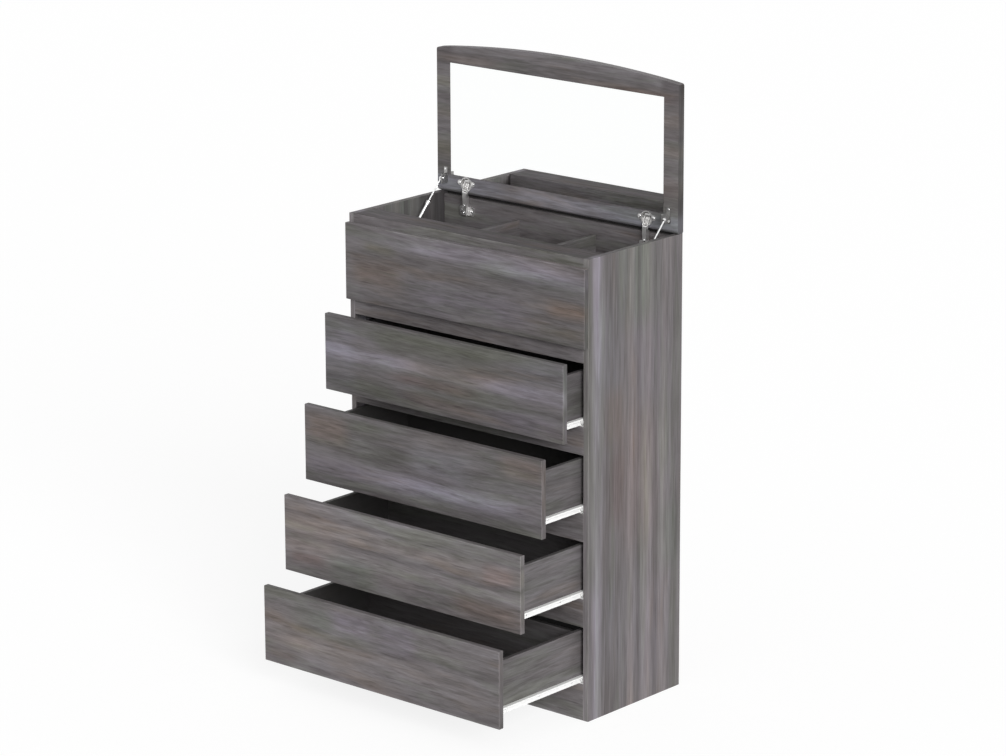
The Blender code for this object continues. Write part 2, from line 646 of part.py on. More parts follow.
case = new_empty("case", None, (0, -BOARD / 2, 0))
build_side_panels()
build_case_boards()
build_compartment()
build_false_front()
for drawer in range(1, DRAWERS + 1):
    build_cabinet_runners(drawer)
    build_drawer(drawer)
lid_axis = new_empty("lid_hinge_axis", case, (0, AXIS_Y, AXIS_Z))
lid_board = build_lid(lid_axis)
for hand, sign in SIDES.items():
    build_stay_bracket(hand, sign, lid_axis, lid_board)
    build_stay(hand, sign)
for hand, sign in SIDES.items():
    build_hinge_cup(hand, sign, lid_axis, lid_board)
    build_hinge_arm(hand, sign)
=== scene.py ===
"""Looks of the tallboy: materials, small hardware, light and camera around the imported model."""
import math

import bmesh
import bpy
from mathutils import Matrix, Vector


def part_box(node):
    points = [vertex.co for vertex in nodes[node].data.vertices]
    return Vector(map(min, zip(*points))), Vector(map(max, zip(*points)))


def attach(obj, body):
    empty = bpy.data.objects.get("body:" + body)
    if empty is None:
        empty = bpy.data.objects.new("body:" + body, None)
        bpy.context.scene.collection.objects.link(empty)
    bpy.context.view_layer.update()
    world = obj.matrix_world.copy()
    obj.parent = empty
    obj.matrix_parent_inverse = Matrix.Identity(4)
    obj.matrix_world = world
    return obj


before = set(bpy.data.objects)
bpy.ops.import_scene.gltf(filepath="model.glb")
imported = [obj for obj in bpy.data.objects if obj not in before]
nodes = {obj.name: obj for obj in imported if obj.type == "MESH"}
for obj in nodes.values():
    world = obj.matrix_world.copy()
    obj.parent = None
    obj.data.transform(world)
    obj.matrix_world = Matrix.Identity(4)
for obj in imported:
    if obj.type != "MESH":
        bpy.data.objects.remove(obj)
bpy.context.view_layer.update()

# Camera, fitted to the photograph's corners
CAMERA_AT = Vector((6.4105, -7.2310, 3.4820))
CAMERA_YAW = 0.71634687
CAMERA_PITCH = 0.26792638
CAMERA_ROLL = -0.00396692
SENSOR = 36.0
PICTURE_WIDTH = 1006
FOCAL_PIXELS = 3945.868
LENS = SENSOR * FOCAL_PIXELS / PICTURE_WIDTH
FAR_CLIP = 200.0

# Light: an even white room, and one broad soft lamp from the front right
ROOM_LOW = 0.56  # strength at eye level
ROOM_HIGH = 0.30  # strength overhead
KEY_AZIMUTH = math.radians(60)
KEY_HEIGHT = math.radians(22)
KEY_SPREAD = math.radians(35)
KEY_SHARE = 0.85  # what a face square to the lamp gets from it
KEY_AWAY = 5.0
FLOOR_SIZE = 60.0
FLOOR_GREY = 0.90
FLOOR_WHITE = 1.11  # glow that fills the floor up to white where it is seen
FLOOR_GLOW = 0.76  # share of the glow; the rest shows the shadow

SIDES = {"left": -1, "right": 1}
DRAWERS = (1, 2, 3, 4)


# Node helpers
class Shader:
    """A material's node tree with short ways to add to it."""

    def __init__(self, name):
        self.material = bpy.data.materials.new(name)
        self.material.use_nodes = True
        self.tree = self.material.node_tree
        self.tree.nodes.clear()
        self.output = self.add("OutputMaterial")

    def add(self, kind, inputs=None, **settings):
        made = self.tree.nodes.new("ShaderNode" + kind)
        for key, value in settings.items():
            setattr(made, key, value)
        for key, value in (inputs or {}).items():
            self.put(made.inputs[key], value)
        return made

    def put(self, socket, value):
        if isinstance(value, bpy.types.NodeSocket):
            self.tree.links.new(value, socket)
        else:
            socket.default_value = value

    def math(self, operation, a, b=0.0):
        made = self.add("Math", operation=operation)
        self.put(made.inputs[0], a)
        self.put(made.inputs[1], b)
        return made.outputs[0]

    def total(self, *values):
        result = values[0]
        for value in values[1:]:
            result = self.math("ADD", result, value)
        return result

    def vector(self, operation, a, b):
        made = self.add("VectorMath", operation=operation)
        self.put(made.inputs[0], a)
        self.put(made.inputs[1], b)
        return made.outputs[0]

    def split(self, vector):
        return self.add("SeparateXYZ", {"Vector": vector}).outputs

    def noise(self, where, scale, offset=0.0, detail=2.0, roughness=0.55):
        """Noise over a point, squeezed by three scales and moved to its own place."""
        spread = self.vector("MULTIPLY", where, scale)
        moved = self.vector("ADD", spread, (offset, offset * 0.37 + 5.1, offset * 0.71 - 3.3))
        inputs = {"Vector": moved, "Scale": 1.0, "Detail": detail, "Roughness": roughness}
        return self.add("TexNoise", inputs).outputs["Fac"]

    def around(self, value, weight):
        """A noise value about zero, with its share of a sum."""
        return self.math("MULTIPLY", self.math("SUBTRACT", value, 0.5), weight)

    def ramp(self, factor, stops):
        made = self.add("ValToRGB", {"Fac": factor})
        elements = made.color_ramp.elements
        while len(elements) < len(stops):
            elements.new(0.5)
        for element, (place, colour) in zip(elements, stops):
            element.position = place
            element.color = (*colour, 1.0)
        return made.outputs["Color"]

    def range(self, value, low, high, to_low=0.0, to_high=1.0, kind="SMOOTHSTEP"):
        made = self.add("MapRange", interpolation_type=kind)
        for key, number in (("Value", value), ("From Min", low), ("From Max", high)):
            self.put(made.inputs[key], number)
        self.put(made.inputs["To Min"], to_low)
        self.put(made.inputs["To Max"], to_high)
        return made.outputs["Result"]

    def mix(self, factor, a, b, blend="MIX"):
        made = self.add("Mix", data_type="RGBA", blend_type=blend)
        self.put(made.inputs[0], factor)
        self.put(made.inputs[6], a)
        self.put(made.inputs[7], b)
        return made.outputs[2]

    def bump(self, height, strength, distance):
        made = self.add("Bump", {"Height": height, "Strength": strength, "Distance": distance})
        return made.outputs["Normal"]

    def principled(self, **inputs):
        made = self.add("BsdfPrincipled")
        for key, value in inputs.items():
            self.put(made.inputs[key.replace("_", " ")], value)
        self.tree.links.new(made.outputs["BSDF"], self.output.inputs["Surface"])
        return made


def rgb(r, g, b):
    return (r, g, b, 1.0)


# Grey weathered oak laminate: broken fibres under soft tints, with each board's marks over them
DARK = (0.060, 0.055, 0.0535)
SHADE = (0.101, 0.0935, 0.092)
MIDDLE = (0.148, 0.139, 0.140)
PALE = (0.222, 0.211, 0.218)
TINTS = (
    (0.32, (0.96, 1.01, 0.92)),
    (0.42, (0.98, 1.005, 0.98)),
    (0.50, (1.0, 0.985, 1.02)),
    (0.59, (1.01, 0.985, 1.0)),
    (0.70, (1.06, 0.975, 0.92)),
)
# What a mark does to the colour under it
MARKS = {
    "lilac": (1.69, 1.67, 1.87),
    "mauve": (1.20, 1.14, 1.33),
    "blue": (1.20, 1.26, 1.34),
    "pale": (1.42, 1.38, 1.36),
    "tan": (1.40, 1.31, 1.17),
    "brown": (1.12, 0.97, 0.84),
    "rust": (0.90, 0.70, 0.64),
    "rose": (1.24, 1.08, 1.05),
    "olive": (0.84, 0.88, 0.76),
    "moss": (0.93, 1.00, 0.93),
    "dark": (0.55, 0.52, 0.53),
}
# Layers of the grain: waves per metre along and across the fibres, place in the noise, detail
SWAY = (1.6, 7.0, 0.0, 2.0)
RIPPLE = (8.0, 24.0, 2.3, 2.0)
BROAD = (1.5, 13.0, 3.1, 2.0)
BAND = (6.0, 42.0, 7.7, 3.0)
DASH = (17.0, 95.0, 5.3, 3.0)
FIBRE = (28.0, 230.0, 1.9, 3.0)
THREAD = (45.0, 900.0, 13.1, 2.0)
HUE = (5.0, 18.0, 11.3, 3.0)
PORES = (22.0, 150.0, 9.1, 2.0)
BREAKS = (9.0, 45.0, 20.0, 2.0)
RUBBING = (40.0, 60.0, 15.7, 2.0)
# Axes of the model along the fibres, across them on the face, and through the board
GRAIN_ORDER = {"X": (0, 2, 1), "Y": (1, 2, 0), "Z": (2, 1, 0)}
# How squarely a face looks along an axis where its mask begins and where it is full
FACE_FROM = 0.6
FACE_FULL = 0.85
END_FROM = 0.7
# Depth of the skin that counts as a board's inner face
SKIN_FULL = 0.0004
SKIN_NONE = 0.0012
GRAIN_STOPS = (0.10, 0.36, 0.58, 0.92)
GRAIN_ROUGHNESS = 0.6
ENDLESS = 1.0  # a mark of this half length or more runs along the whole board
PORE_TONE = (0.50, 0.47, 0.47)
# Paler arrises: wear and a painted highlight along the edges
WORN_HIGHLIGHT_TONE = (1.5, 1.5, 1.5)
WORN_HIGHLIGHT_FULL = 0.0008
WORN_HIGHLIGHT_NONE = 0.0030
# Near black painted shade for the insides of the drawers
PAINTED_SHADE_BLACK = rgb(0.050, 0.048, 0.047)
BRACKET_STEEL = rgb(0.36, 0.355, 0.35)
RELIEF = 0.25
RELIEF_DEPTH = 0.0006
# Specular level of the boards
SATIN = 0.3
MATT = 0.02


class Wood(Shader):
    """Wood-grain laminate with its fibres along one axis of the model's frame."""

    def __init__(self, name, grain, seed, level=1.0, stretch=0.6, bend=0.042, figure=1.0):
        super().__init__(name)
        self.seed = seed
        self.stretch = stretch
        source = self.add("TexCoord").outputs
        self.place = self.split(source["Object"])
        self.facing = self.split(source["Normal"])
        along, across, through = (self.place[i] for i in GRAIN_ORDER[grain])
        self.along = along
        flat = self.add("CombineXYZ", {"X": along, "Y": across, "Z": through}).outputs[0]
        sway = self.streaks(flat, SWAY)
        ripple = self.streaks(flat, RIPPLE)
        self.across = self.total(across, self.around(sway, bend), self.around(ripple, bend * 0.2))
        length = self.add("CombineXYZ", {"X": along, "Y": self.across, "Z": through}).outputs[0]
        banded = self.add("CombineXYZ", {"X": across, "Y": through, "Z": along}).outputs[0]
        endwise = self.math("ABSOLUTE", self.facing[GRAIN_ORDER[grain][0]])
        self.flow = self.mix(self.math("GREATER_THAN", endwise, END_FROM), length, banded)
        broad = self.streaks(self.flow, BROAD)
        self.band = self.streaks(self.flow, BAND)
        dash = self.streaks(self.flow, DASH)
        self.fibre = self.streaks(self.flow, FIBRE)
        self.thread = self.streaks(self.flow, THREAD)
        tone = self.total(
            self.around(broad, 0.52 * figure),
            self.around(self.band, 0.56 * figure),
            self.around(dash, 0.62 * figure),
            self.around(self.fibre, 0.48),
            self.around(self.thread, 0.34),
            0.5,
        )
        scaled = [tuple(c * level for c in colour) for colour in (DARK, SHADE, MIDDLE, PALE)]
        colour = self.ramp(tone, list(zip(GRAIN_STOPS, scaled)))
        hue = self.streaks(self.flow, HUE)
        self.colour = self.mix(1.0, colour, self.ramp(hue, TINTS), "MULTIPLY")
        pores = self.streaks(self.flow, PORES)
        self.tone(self.range(pores, 0.56, 0.74, 0.0, 0.55 * figure), PORE_TONE)

    def streaks(self, where, layer):
        along, across, offset, detail = layer
        scale = (along * self.stretch, across, across)
        return self.noise(where, scale, self.seed + offset, detail, GRAIN_ROUGHNESS)

    def tone(self, mask, factor):
        """Multiplies the colour where a mask says."""
        self.colour = self.mix(mask, self.colour, rgb(*factor), "MULTIPLY")

    def mark(self, kind, along, length, across, width, strength, drift=0.0):
        """A soft patch or streak of half this length and width, broken up along the fibres."""
        centre = across
        if drift:
            lean = self.math("MULTIPLY", self.math("SUBTRACT", self.along, along), drift)
            centre = self.math("ADD", lean, across)
        aside = self.math("ABSOLUTE", self.math("SUBTRACT", self.across, centre))
        mask = self.range(aside, width * 0.15, width * 1.15, strength, 0.0)
        if length < ENDLESS:
            past = self.math("ABSOLUTE", self.math("SUBTRACT", self.along, along))
            fading = self.range(past, length * 0.4, length * 1.1, 1.0, 0.0)
            mask = self.math("MULTIPLY", mask, fading)
        self.seed += 1.7
        broken = self.streaks(self.flow, BREAKS)
        mask = self.math("MULTIPLY", mask, self.range(broken, 0.30, 0.60, 0.7, 1.0))
        self.tone(mask, MARKS[kind])

    def looking(self, axis, sign=0):
        """A mask of the faces that look along an axis, one way or, without a sign, both ways."""
        if sign:
            way = self.math("MULTIPLY", self.facing[axis], sign)
        else:
            way = self.math("ABSOLUTE", self.facing[axis])
        return self.range(way, FACE_FROM, FACE_FULL)

    def inner_face(self, low, high):
        """A mask of the face of a left or right board towards the middle of the chest."""
        inner = min(abs(low.x), abs(high.x))
        aside = self.math("ABSOLUTE", self.place[0])
        return self.range(aside, inner + SKIN_FULL, inner + SKIN_NONE, 1.0, 0.0)

    def edges(self, ends=1.0, tops=1.0, fronts=1.0, rears=1.0):
        """Painted light and shade on the edge bands: darker or lighter than the faces, told apart
        by where they face, as the light falls on them.
        """
        for axis, sign, factor in ((0, 0, ends), (2, 0, tops), (1, -1, fronts), (1, 1, rears)):
            if factor != 1.0:
                self.tone(self.looking(axis, sign), (factor,) * 3)

    def worn(self, low, high):
        """Paler arrises along the edges of a board's box: rubbed wear and a painted highlight along
        them.
        """
        gaps = []
        for axis in range(3):
            before = self.math("SUBTRACT", self.place[axis], low[axis])
            after = self.math("SUBTRACT", high[axis], self.place[axis])
            gaps.append(self.math("MINIMUM", before, after))
        nearest = self.math("MINIMUM", gaps[0], gaps[1])
        second = self.math("MINIMUM", self.math("MAXIMUM", gaps[0], gaps[1]), gaps[2])
        edge = self.math("MAXIMUM", nearest, second)
        rubbed = self.range(self.streaks(self.flow, RUBBING), 0.35, 0.65)
        near = self.range(edge, WORN_HIGHLIGHT_FULL, WORN_HIGHLIGHT_NONE, 0.5, 0.0)
        self.tone(self.math("MULTIPLY", rubbed, near), WORN_HIGHLIGHT_TONE)

    def paint_shade(self, mask, share=1.0):
        """Painted shade: near black where a mask says, for the shade inside the drawers; with a
        smaller share the grain shows through it.
        """
        self.colour = self.mix(self.math("MULTIPLY", mask, share), self.colour, PAINTED_SHADE_BLACK)

    def finish(self, gloss=SATIN, steel=None):
        """The material, with steel in place of the wood where a mask says."""
        relief = self.total(
            self.around(self.fibre, 0.5),
            self.around(self.band, 0.3),
            self.around(self.thread, 0.4),
            0.5,
        )
        colour = self.colour
        rough = self.range(self.band, 0.2, 0.8, 0.50, 0.66, "LINEAR")
        looks = {"Specular_IOR_Level": gloss, "Normal": self.bump(relief, RELIEF, RELIEF_DEPTH)}
        if steel is not None:
            colour = self.mix(steel, colour, BRACKET_STEEL)
            rough = self.math("SUBTRACT", rough, self.math("MULTIPLY", steel, 0.15))
            looks["Metallic"] = steel
        self.principled(Base_Color=colour, Roughness=rough, **looks)
        return self.material


def metal(name, colour, low, high, brush):
    """Plated or drawn steel, with fine brushing and faint tarnish."""
    s = Shader(name)
    place = s.add("TexCoord").outputs["Object"]
    fine = s.noise(place, brush, 2.0, 3.0, 0.6)
    cloud = s.noise(place, (60.0, 60.0, 60.0), 9.0, 3.0)
    dull = tuple(c * 0.72 for c in colour)
    s.principled(
        Base_Color=s.mix(s.range(cloud, 0.35, 0.75, 0.0, 0.30), rgb(*colour), rgb(*dull)),
        Metallic=1.0,
        Roughness=s.range(fine, 0.3, 0.7, low, high, "LINEAR"),
        Normal=s.bump(fine, 0.08, 0.0002),
    )
    return s.material


def coated(name, colour, roughness):
    """Powder-coated steel: a fine orange-peel texture and scuffs along the sliding direction."""
    s = Shader(name)
    place = s.add("TexCoord").outputs["Object"]
    peel = s.noise(place, (900.0, 900.0, 900.0), 4.0, 2.0)
    scuff = s.noise(place, (40.0, 9.0, 160.0), 6.0, 3.0, 0.7)
    worn = tuple(c * 0.86 for c in colour)
    s.principled(
        Base_Color=s.mix(s.range(scuff, 0.55, 0.8, 0.0, 0.5), rgb(*colour), rgb(*worn)),
        Roughness=s.range(scuff, 0.3, 0.7, roughness, roughness + 0.12, "LINEAR"),
        Normal=s.bump(peel, 0.10, 0.0002),
    )
    return s.material


def hardboard(name, colour, inner=None):
    """Painted fibre sheet: a mottle of pressed fibres, and maybe a painted shade colour on its
    front.
    """
    s = Shader(name)
    place = s.add("TexCoord").outputs["Object"]
    mottle = s.noise(place, (70.0, 70.0, 70.0), 1.0, 4.0, 0.7)
    fibre = s.noise(place, (420.0, 420.0, 420.0), 8.0, 3.0, 0.6)
    light = tuple(c * 1.5 for c in colour)
    painted = s.mix(s.range(mottle, 0.3, 0.7), rgb(*colour), rgb(*light))
    if inner:
        facing = s.split(s.add("TexCoord").outputs["Normal"])
        painted = s.mix(s.range(facing[1], -FACE_FULL, -FACE_FROM, 1.0, 0.0), painted, rgb(*inner))
    s.principled(
        Base_Color=painted,
        Roughness=s.range(fibre, 0.3, 0.7, 0.72, 0.88, "LINEAR"),
        Specular_IOR_Level=0.25,
        Normal=s.bump(fibre, 0.2, 0.0003),
    )
    return s.material


def mirror_glass(name):
    """Silvered glass, with a faint haze that varies over it."""
    s = Shader(name)
    place = s.add("TexCoord").outputs["Object"]
    haze = s.noise(place, (5.0, 5.0, 5.0), 3.0, 3.0)
    s.principled(
        Base_Color=s.mix(haze, rgb(0.985, 0.995, 0.99), rgb(0.995, 1.0, 0.998)),
        Metallic=1.0,
        Roughness=s.range(haze, 0.3, 0.7, 0.0, 0.010, "LINEAR"),
    )
    return s.material


def dress(node, material):
    shown = nodes[node]
    shown.data.materials.clear()
    shown.data.materials.append(material)


BOARD_EASE = 0.0008
LID_EASE = 0.0006
WELD_REACH = 0.00002
EASED_FROM = math.radians(40)
SHARP_FROM = math.radians(35)


def ease(shown, width):
    """Rounds the arrises of a piece."""
    step = shown.modifiers.new("ease", "BEVEL")
    step.width = width
    step.segments = 2
    step.limit_method = "ANGLE"
    step.angle_limit = EASED_FROM


def soften(node, width=BOARD_EASE):
    """Eased arrises on a packed board, whose corners are split by their normals."""
    weld = nodes[node].modifiers.new("weld", "WELD")
    weld.merge_threshold = WELD_REACH
    ease(nodes[node], width)


def cover(node, wood, gloss=SATIN):
    """Dresses a board in its wood, with worn edges that carry a painted highlight, and eased edges.
    """
    wood.worn(*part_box(node))
    dress(node, wood.finish(gloss))
    soften(node)


white_steel = coated("white_coated_steel", (0.84, 0.84, 0.83), 0.34)
nickel = metal("nickel_plate", (0.74, 0.732, 0.725), 0.38, 0.52, (120.0, 120.0, 900.0))
bright_steel = metal("bright_steel", (0.88, 0.88, 0.88), 0.12, 0.24, (500.0, 90.0, 90.0))
dark_steel = metal("dark_steel", (0.40, 0.39, 0.38), 0.28, 0.42, (300.0, 300.0, 300.0))
# Near black sheet for the drawer bottoms: painted shade for the dark inside the drawers
shade_black_sheet = hardboard("painted_shade_hardboard", (0.044, 0.042, 0.042))
# The back panel's front face, inside the case, is near black: painted shade
back_sheet = hardboard("brown_hardboard", (0.140, 0.116, 0.096), (0.040, 0.038, 0.038))
silver = mirror_glass("silvered_glass")

# Half length in mm of a mark along a whole board
WHOLE = 9999

# Fronts: seed, level, factors of painted shade and light on their ends and tops, and marks
# A mark is (kind, from the left end, half length, below the top edge, half width, strength), in mm,
# and one more number gives the slope of a mark that leans
FRONTS = {
    "false_front": (
        2.0,
        0.95,
        0.62,
        1.30,
        [
            ("lilac", 500, 400, 26, 36, 0.95, -0.018),
            ("dark", 640, 200, 62, 12, 0.45),
            ("dark", 230, 70, 70, 12, 0.35),
            ("olive", 120, 70, 56, 22, 0.9),
            ("brown", 110, 110, 126, 44, 0.9),
            ("brown", 750, 80, 118, 26, 1.0),
            ("olive", 730, 95, 180, 28, 0.6),
            ("mauve", 430, 220, 150, 52, 0.55),
            ("pale", 402, WHOLE, 8, 20, 0.28),
            ("blue", 640, 200, 52, 24, 0.30),
            ("dark", 170, 190, 110, 70, 0.16),
            ("pale", 560, 250, 190, 26, 0.45),
        ],
    ),
    "drawer_1_front": (
        14.5,
        0.92,
        0.72,
        0.80,
        [
            ("lilac", 130, 240, 88, 30, 0.9),
            ("lilac", 690, 220, 88, 30, 0.9),
            ("tan", 420, 180, 90, 28, 0.6),
            ("rust", 370, 170, 124, 16, 0.7),
            ("olive", 380, 300, 36, 44, 0.75),
            ("blue", 40, 80, 110, 120, 0.6),
            ("blue", 740, 110, 40, 50, 0.7),
            ("mauve", 690, 150, 165, 40, 0.5),
            ("olive", 170, 90, 170, 34, 0.6),
            ("brown", 400, 150, 172, 30, 0.6),
            ("dark", 400, 300, 48, 32, 0.16),
            ("dark", 110, 150, 122, 24, 0.22),
            ("mauve", 120, 90, 34, 34, 0.4),
            ("pale", 765, 60, 180, 34, 0.6),
            ("pale", 765, 60, 64, 40, 0.3),
        ],
    ),
    "drawer_2_front": (
        27.2,
        0.96,
        0.80,
        0.80,
        [
            ("lilac", 480, 340, 147, 38, 1.0),
            ("blue", 480, 260, 150, 34, 0.4),
            ("mauve", 100, 130, 150, 32, 0.5),
            ("brown", 80, 90, 50, 52, 0.9),
            ("olive", 215, 80, 30, 30, 0.6),
            ("dark", 290, 90, 80, 34, 0.45),
            ("blue", 470, 120, 72, 46, 0.6),
            ("brown", 740, 90, 34, 40, 0.8),
            ("dark", 140, 230, 198, 16, 0.6),
            ("pale", 480, 170, 14, 22, 0.35),
            ("mauve", 560, 260, 106, 32, 0.30),
        ],
    ),
    "drawer_3_front": (
        33.9,
        1.30,
        0.88,
        0.80,
        [
            ("dark", 402, WHOLE, 33, 9, 0.5),
            ("tan", 402, WHOLE, 62, 26, 0.35),
            ("dark", 402, WHOLE, 94, 10, 0.5),
            ("pale", 402, WHOLE, 120, 20, 0.35),
            ("dark", 402, WHOLE, 172, 30, 0.35),
            ("moss", 230, 100, 160, 44, 1.0),
            ("rust", 80, 70, 155, 20, 0.5),
            ("rose", 730, 60, 68, 32, 0.9),
            ("brown", 690, 130, 165, 34, 0.8),
            ("brown", 90, 120, 90, 110, 0.4),
            ("dark", 60, 100, 175, 44, 0.25),
            ("pale", 380, 110, 152, 32, 0.45),
        ],
    ),
    "drawer_4_front": (
        48.4,
        1.18,
        0.74,
        0.80,
        [
            ("mauve", 310, 90, 46, 34, 0.9),
            ("mauve", 460, 80, 46, 50, 0.9),
            ("moss", 170, 90, 50, 46, 0.9),
            ("olive", 230, 170, 88, 14, 0.8),
            ("dark", 520, 110, 88, 12, 0.4),
            ("tan", 200, 170, 126, 32, 0.5),
            ("pale", 560, 300, 126, 34, 0.3),
            ("rust", 60, 60, 178, 18, 0.4),
            ("dark", 402, WHOLE, 190, 15, 0.45),
            ("brown", 80, 110, 110, 90, 0.3),
            ("pale", 480, 330, 52, 18, 0.28),
        ],
    ),
}
for node, (seed, level, ends, tops, marks) in FRONTS.items():
    low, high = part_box(node)
    s = Wood("oak_" + node, "X", seed, level)
    for kind, left, length, below, width, strength, *lean in marks:
        at, down = low.x + left / 1000, high.z - below / 1000
        s.mark(kind, at, length / 1000, down, width / 1000, strength, *lean)
    # Painted shade on the ends, which the lamp lights; the top edge gets painted light on the false
    # front and painted shade on the drawer fronts
    s.edges(ends=ends, tops=tops)
    # Painted shade on the rear face of a drawer front, inside the drawer
    if node != "false_front":
        s.paint_shade(s.looking(1, 1))
    cover(node, s)

# Side panels: a mark is (kind, above the floor, half length, behind the front edge, half width,
# strength), in mm
SIDE_LEVEL = 1.06
SIDE_GRAIN = {"stretch": 0.30, "bend": 0.012, "figure": 0.75}
# Painted shade on the inner face of a side panel, and more of it towards the back
INSIDE_SHADE_TONE = (0.86, 0.86, 0.86)
DEEP_SHADE_TONE = (0.42, 0.42, 0.42)
SIDE_MARKS = [
    ("dark", 600, WHOLE, 7, 10, 0.35),
    ("lilac", 600, WHOLE, 32, 22, 0.60),
    ("lilac", 1010, 330, 32, 26, 0.18),
    ("lilac", 200, 330, 32, 26, 0.16),
    ("dark", 600, WHOLE, 70, 18, 0.26),
    ("dark", 600, WHOLE, 104, 52, 0.24),
    ("pale", 600, WHOLE, 165, 16, 0.72),
    ("dark", 600, WHOLE, 198, 12, 0.50),
    ("pale", 600, WHOLE, 231, 24, 0.55),
    ("dark", 600, WHOLE, 266, 14, 0.56),
    ("pale", 600, WHOLE, 299, 14, 0.52),
    ("dark", 600, WHOLE, 345, 24, 0.30),
    ("rust", 600, 130, 110, 42, 0.45),
    ("rose", 600, 220, 200, 100, 0.55),
    ("brown", 780, 90, 100, 50, 0.5),
    ("moss", 1120, 150, 190, 110, 1.0),
    ("moss", 420, 110, 320, 60, 1.0),
    ("blue", 960, 150, 80, 60, 0.5),
    ("blue", 220, 150, 90, 60, 0.4),
    ("mauve", 900, 140, 240, 110, 0.25),
    ("mauve", 200, 190, 240, 110, 0.25),
]
for word, side in SIDES.items():
    node = "side_panel_" + word
    low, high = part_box(node)
    s = Wood("oak_" + node, "Z", 77.0 + 5.0 * side, SIDE_LEVEL, **SIDE_GRAIN)
    for kind, up, length, back, width, strength in SIDE_MARKS:
        s.mark(kind, up / 1000, length / 1000, low.y + back / 1000, width / 1000, strength)
    # Painted shade on the top edge, and painted light on the front edge, which the drawers shade
    s.edges(tops=0.82, fronts=1.5)
    # Painted shade: the inner face darker, and darker still towards the back
    inside = s.inner_face(low, high)
    backward = s.range(s.place[1], low.y + 0.10, high.y - 0.03)
    s.tone(inside, INSIDE_SHADE_TONE)
    s.tone(s.math("MULTIPLY", inside, backward), DEEP_SHADE_TONE)
    cover(node, s)

# Boards of the case: grain, seed, level, and factors of painted light and shade on the faces that
# differ; the plinth and the rails have a high level, painted light against the shade under the
# drawers
BOARDS = {
    "plinth": ("X", 51.0, 1.30, {}),
    "drawer_rail_1": ("X", 53.0, 1.30, {}),
    "drawer_rail_2": ("X", 55.0, 1.30, {}),
    "drawer_rail_3": ("X", 57.0, 1.30, {}),
    "compartment_rail": ("X", 59.0, 1.30, {}),
    "compartment_floor": ("X", 61.0, 0.95, {}),
    "compartment_back": ("X", 63.0, 1.10, {}),
    "top_rail": ("X", 65.0, 1.18, {"tops": 0.68, "rears": 1.26}),
    "divider_1": ("Y", 67.0, 0.80, {"tops": 0.85}),
    "divider_2": ("Y", 69.0, 0.80, {"tops": 0.85}),
}
for node, (grain, seed, level, factors) in BOARDS.items():
    s = Wood("oak_" + node, grain, seed, level)
    # Painted light and shade on the faces that the factors name
    s.edges(**factors)
    cover(node, s, MATT if node == "top_rail" else SATIN)

# Drawer boxes: wood outside, painted shade inside
# Levels of the drawer boxes: the upper ones darker, painted shade for the shade of the drawers
# above them
BOX_SHADE_LEVELS = {1: 0.61, 2: 0.71, 3: 0.79, 4: 0.85}
# Share of the painted shade over the grain on each drawer's back, higher in the upper drawers,
# which lie deeper in shade
BACK_SHADE_SHARE = {1: 0.75, 2: 0.95, 3: 0.35, 4: 0.28}
# Share of the painted shade on the inner faces of the drawer sides
SIDE_SHADE_SHARE = 0.87
for number, level in BOX_SHADE_LEVELS.items():
    for word, side in SIDES.items():
        node = f"drawer_{number}_side_{word}"
        s = Wood("oak_" + node, "Y", 80.0 + 4 * number + side, level)
        # Painted shade on the top edges of the drawer sides
        s.edges(tops=0.80)
        s.paint_shade(s.inner_face(*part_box(node)), SIDE_SHADE_SHARE)
        cover(node, s)
    node = f"drawer_{number}_back"
    s = Wood("oak_" + node, "X", 100.0 + 4 * number, level)
    # Painted shade on the inner face and the top edge of the drawer back
    s.paint_shade(s.looking(1, -1), BACK_SHADE_SHARE[number])
    s.paint_shade(s.looking(2, 1))
    cover(node, s)
    # The drawer bottom is near black: painted shade
    dress(f"drawer_{number}_bottom", shade_black_sheet)
    for word in SIDES:
        dress(f"drawer_runner_{number}_{word}", white_steel)
        dress(f"cabinet_runner_{number}_{word}", white_steel)

# Lid: a mark is (kind, right of the middle, half length, from where, how far above it, half width,
# strength), in mm; foot is the mirror's lower edge and top the lid's highest point
LID_MARKS = [
    ("dark", 0, WHOLE, "foot", 195, 12, 0.45),
    ("dark", 0, WHOLE, "foot", 110, 10, 0.45),
    ("dark", 0, WHOLE, "foot", 295, 12, 0.35),
    ("tan", 0, WHOLE, "foot", 65, 30, 0.5),
    ("tan", 0, WHOLE, "foot", 160, 20, 0.5),
    ("tan", 0, WHOLE, "foot", 240, 22, 0.4),
    ("blue", 0, WHOLE, "foot", -22, 34, 1.0),
    ("blue", 0, WHOLE, "foot", -22, 30, 0.6),
    ("pale", 0, WHOLE, "foot", -22, 30, 0.5),
    ("dark", -250, 200, "top", -30, 12, 0.4),
    ("brown", -300, 140, "top", -45, 20, 0.5),
    ("rust", 300, 120, "top", -60, 20, 0.5),
    ("pale", 20, 200, "foot", -22, 40, 0.45),
    ("pale", 390, 50, "foot", 170, 200, 0.42),
    ("dark", 385, 45, "top", -25, 35, 0.7),
    ("dark", -385, 45, "top", -25, 35, 0.6),
    ("dark", -385, 50, "foot", 40, 50, 0.75),
    ("dark", 385, 50, "foot", 40, 50, 0.65),
]
BRACKET_FROM = 0.0004
mirror_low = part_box("mirror")[0]
lid_face = mirror_low.y
lid_levels = {"foot": mirror_low.z, "top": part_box("lid_panel")[1].z}
s = Wood("oak_lid_panel", "X", 71.0, 1.08)
for kind, aside, length, level, above, width, strength in LID_MARKS:
    height = lid_levels[level] + above / 1000
    s.mark(kind, aside / 1000, length / 1000, height, width / 1000, strength)
# Painted shade on the ends, which the lamp lights, and painted light on the top
s.edges(ends=0.40, tops=1.12)
